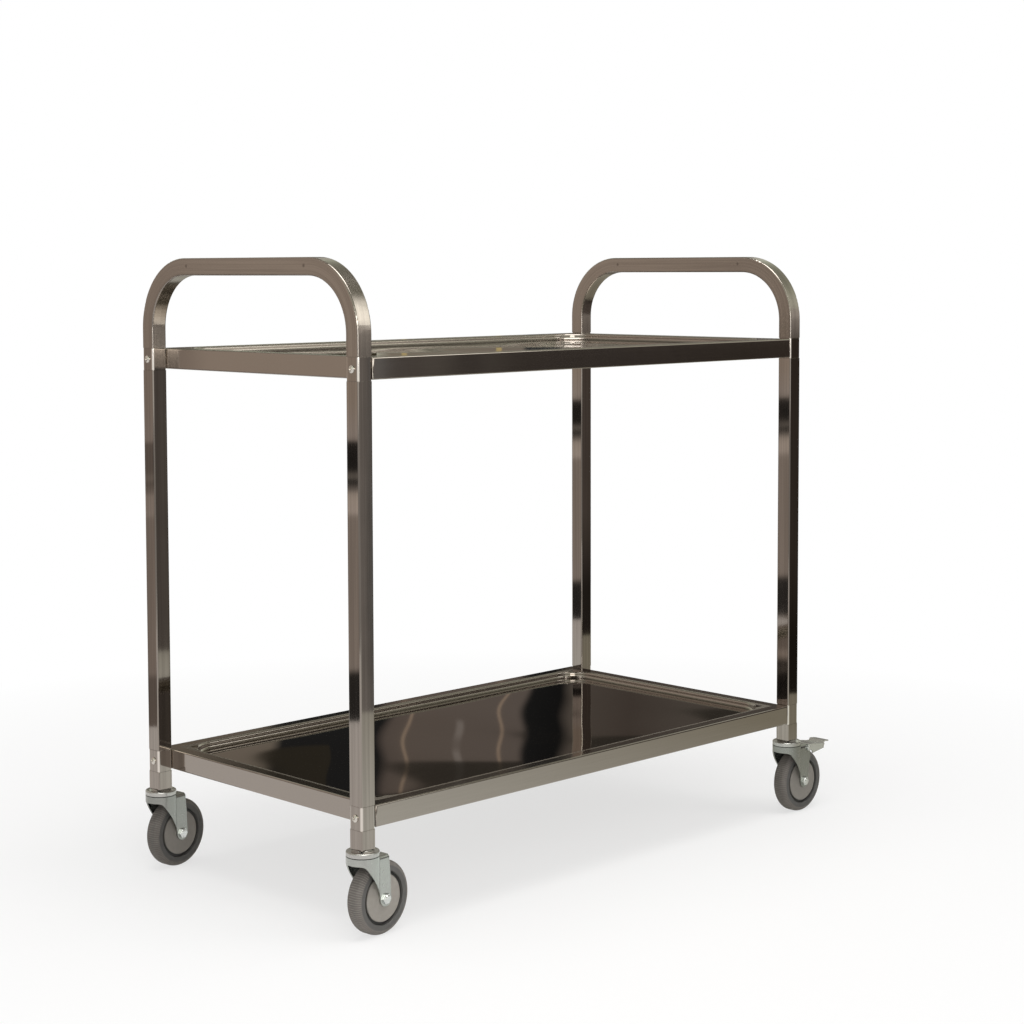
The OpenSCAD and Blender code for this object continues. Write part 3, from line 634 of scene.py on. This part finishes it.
def make_far_panel():
    """Far side of the room, which the trays mirror: dark, with a paler bay and two thin warm posts.

    Its low part shows in the upper tray, and its high part in the lower one. The bands across it lie where
    the photograph's camera sees them: seen is the slope to the right of that camera's middle line.
    """
    yaw = math.radians(EYE_TURNS[0])
    eye = MIDDLE.xy + Vector(EYE)
    away = 8.683
    ends = [(eye.x + away * slope, eye.y + away) for slope in (0.55, 1.50)]
    tree = standing_panel("far_panel", *ends, 5.0)
    spot = parts_of(tree, (eye.x, eye.y + away, 0.0))
    across = maths(tree, "MULTIPLY_ADD", spot[0], math.cos(yaw), -away * math.sin(yaw))
    ahead = maths(tree, "MULTIPLY_ADD", spot[0], math.sin(yaw), away * math.cos(yaw))
    seen = maths(tree, "DIVIDE", across, ahead)
    on_line = fade(tree, seen, -0.16, 0.16)
    high = spot[2]

    room = ramp(tree, on_line, [
        (0.00, (0.20, 0.17, 0.13)), (0.17, (0.22, 0.185, 0.15)), (0.205, (0.20, 0.17, 0.135)),
        (0.222, 0.020), (0.375, 0.018), (0.392, (0.13, 0.105, 0.09)), (0.42, (0.150, 0.122, 0.103)),
        (0.592, (0.150, 0.124, 0.108)), (0.603, 0.014), (0.650, 0.010), (0.668, (0.105, 0.088, 0.074)),
        (0.76, (0.078, 0.062, 0.052)), (0.84, (0.10, 0.085, 0.072)), (1.0, (0.10, 0.085, 0.075))],
        smooth=False)
    for where in (-0.0263, 0.0201):
        line = stripe(tree, seen, where, 0.0013, 0.0004)
        room = blend(tree, times(tree, line, 0.6), room, (0.44, 0.33, 0.24))
    beam = times(tree, stripe(tree, seen, -0.001, 0.0026, 0.0010), fade(tree, high, 2.08, 2.2))
    room = blend(tree, times(tree, beam, 0.4), room, (0.40, 0.36, 0.33))
    left_top = times(tree, fade(tree, high, 2.01, 2.06), maths(tree, "LESS_THAN", on_line, 0.30))
    room = blend(tree, left_top, room, (0.035, 0.03, 0.022))
    lintel = times(tree, fade(tree, high, 2.33, 2.38), maths(tree, "LESS_THAN", on_line, 0.60))
    lintel = maths(tree, "MAXIMUM", lintel, fade(tree, high, 2.46, 2.52))
    room = blend(tree, times(tree, lintel, 0.9), room, (0.034, 0.030, 0.024))

    low = ramp(tree, on_line, [
        (0.00, (0.16, 0.14, 0.12)), (0.10, (0.16, 0.14, 0.12)), (0.12, (0.56, 0.56, 0.43)),
        (0.37, (0.58, 0.58, 0.46)), (0.385, (0.30, 0.28, 0.22)), (0.40, (0.19, 0.16, 0.12)),
        (0.597, (0.18, 0.15, 0.12)), (0.603, 0.03), (0.650, 0.03), (0.660, (0.19, 0.165, 0.135)),
        (0.80, (0.18, 0.155, 0.13)), (1.0, (0.10, 0.085, 0.075))], smooth=False)
    for where in (-0.0255, 0.0198):
        line = stripe(tree, seen, where, 0.0016, 0.0010)
        low = blend(tree, times(tree, line, 0.9), low, (0.42, 0.32, 0.14))
    over = times(tree, fade(tree, high, 1.095, 1.105), maths(tree, "LESS_THAN", on_line, 0.379))
    low = blend(tree, over, low, (0.035, 0.028, 0.015))

    shade = blend(tree, fade(tree, high, 1.50, 1.60), low, room)
    glow(tree, blend(tree, fade(tree, high, 2.7, 3.1), shade, (0.60, 0.57, 0.50)))


def make_surround():
    """Room and ceiling round the studio, seen only in the steel: brown, and bright behind the camera."""
    outline = [(2.6, 0.006), (12.2, 0.006), (12.8, 0.3), (12.9, 1.6), (12.8, 5.6), (11.0, 8.6), (6.0, 10.4),
               (0.3, 10.8)]
    work = bmesh.new()
    chain = [work.verts.new((far, 0.0, high)) for far, high in outline]
    edges = [work.edges.new(pair) for pair in zip(chain, chain[1:])]
    bmesh.ops.spin(work, geom=chain + edges, cent=(0, 0, 0), axis=(0, 0, 1), angle=2 * math.pi,
                   steps=96, use_merge=True)
    piece, tree = stand("studio_surround", work)
    spot = parts_of(tree)
    bands = noise(tree, place(tree, scale=(0.10, 0.10, 1.2)), 1.0, 2.0, 0.5, 0.3)
    pillars = noise(tree, place(tree, scale=(0.4, 0.4, 0.07)), 1.1, 2.0, 0.5, 0.5)
    low = ramp(tree, bands, [(0.36, 0.03), (0.44, 0.40), (0.60, 0.48), (0.70, 0.80)])
    high = ramp(tree, pillars, [(0.36, 0.14), (0.47, 0.26), (0.58, 0.46), (0.70, 0.70)])
    up = fade(tree, spot[2], 0.65, 0.85)
    shade = blend(tree, 0.25, blend(tree, up, low, high), (0.40, 0.33, 0.27))
    toward = maths(tree, "ADD", times(tree, spot[0], -0.703), times(tree, spot[1], -0.711))
    shade = blend(tree, fade(tree, toward, 8.2, 9.8), shade, (0.97, 0.95, 0.92))
    share = maths(tree, "DIVIDE", spot[2], 11.0)
    overhead = ramp(tree, share, [(0.0, 0.0), (0.22, 0.0), (0.34, 1.0), (1.0, 1.0)], smooth=False)
    ceiling = ramp(tree, share, [
        (0.0, (0.82, 0.84, 0.70)), (0.50, (0.84, 0.86, 0.74)), (0.66, (0.62, 0.65, 0.52)),
        (0.85, (0.34, 0.34, 0.28)), (1.0, (0.20, 0.18, 0.165))], smooth=False)
    glow(tree, blend(tree, overhead, shade, ceiling))
    glossy_only(piece)


def make_world():
    """White behind everything, and a soft even light on the trolley."""
    world = bpy.data.worlds.new("studio")
    bpy.context.scene.world = world
    world.use_nodes = True
    tree = world.node_tree
    tree.nodes.clear()
    seen = seen_by(add(tree, "LightPath").outputs)
    white = add(tree, "Background", {"Color": (1.0, 1.0, 1.0, 1.0), "Strength": 1.0}).outputs[0]
    soft = add(tree, "Background", {"Color": (1.0, 0.99, 0.97, 1.0), "Strength": 0.32}).outputs[0]
    mixed = add(tree, "MixShader", {0: seen, 1: soft, 2: white}).outputs[0]
    add(tree, "OutputWorld", {"Surface": mixed})


def make_lamp(name, spot, aim, size, power):
    """Soft rectangular lamp at a spot, turned to an aim."""
    data = bpy.data.lights.new(name, "AREA")
    data.shape = "RECTANGLE"
    data.size, data.size_y = size
    data.energy = power
    data.color = (1.0, 0.985, 0.96)
    lamp = bpy.data.objects.new(name, data)
    bpy.context.scene.collection.objects.link(lamp)
    lamp.location = spot
    lamp.rotation_euler = (Vector(aim) - Vector(spot)).to_track_quat("-Z", "Y").to_euler()


def make_camera():
    """Camera at the photograph's place; its lens and shift are for a square frame of 1024 x 1024."""
    yaw, pitch, roll = (math.radians(turn) for turn in EYE_TURNS)
    ahead = Vector((math.sin(yaw) * math.cos(pitch), math.cos(yaw) * math.cos(pitch), -math.sin(pitch)))
    right = Vector((math.cos(yaw), -math.sin(yaw), 0.0))
    down = ahead.cross(right)
    across = right * math.cos(roll) + down * math.sin(roll)
    below = down * math.cos(roll) - right * math.sin(roll)
    data = bpy.data.cameras.new("camera")
    data.lens = LENS
    data.sensor_width = 36.0
    data.shift_x, data.shift_y = SHIFT
    data.clip_start, data.clip_end = 0.05, 60.0
    camera = bpy.data.objects.new("camera", data)
    bpy.context.scene.collection.objects.link(camera)
    turn = Matrix((across, -below, -ahead)).transposed().to_4x4()
    camera.matrix_world = Matrix.Translation((*(MIDDLE.xy + Vector(EYE)), EYE_HEIGHT)) @ turn
    bpy.context.scene.camera = camera


make_floor()
make_left_panel()
make_right_panel()
make_far_panel()
make_surround()
make_world()
make_lamp("overhead", (-0.3, -0.4, 3.0), (0.0, 0.0, 0.5), (2.4, 1.6), 60)
make_lamp("left_front", (-1.5, -1.7, 1.1), (-0.4, -0.2, 0.2), (0.9, 0.9), 11)
make_lamp("right_front", (1.8, -2.8, 2.55), (-0.2, 0.0, 0.85), (1.3, 2.5), 20)
make_camera()

scene = bpy.context.scene
scene.view_settings.view_transform = "Standard"
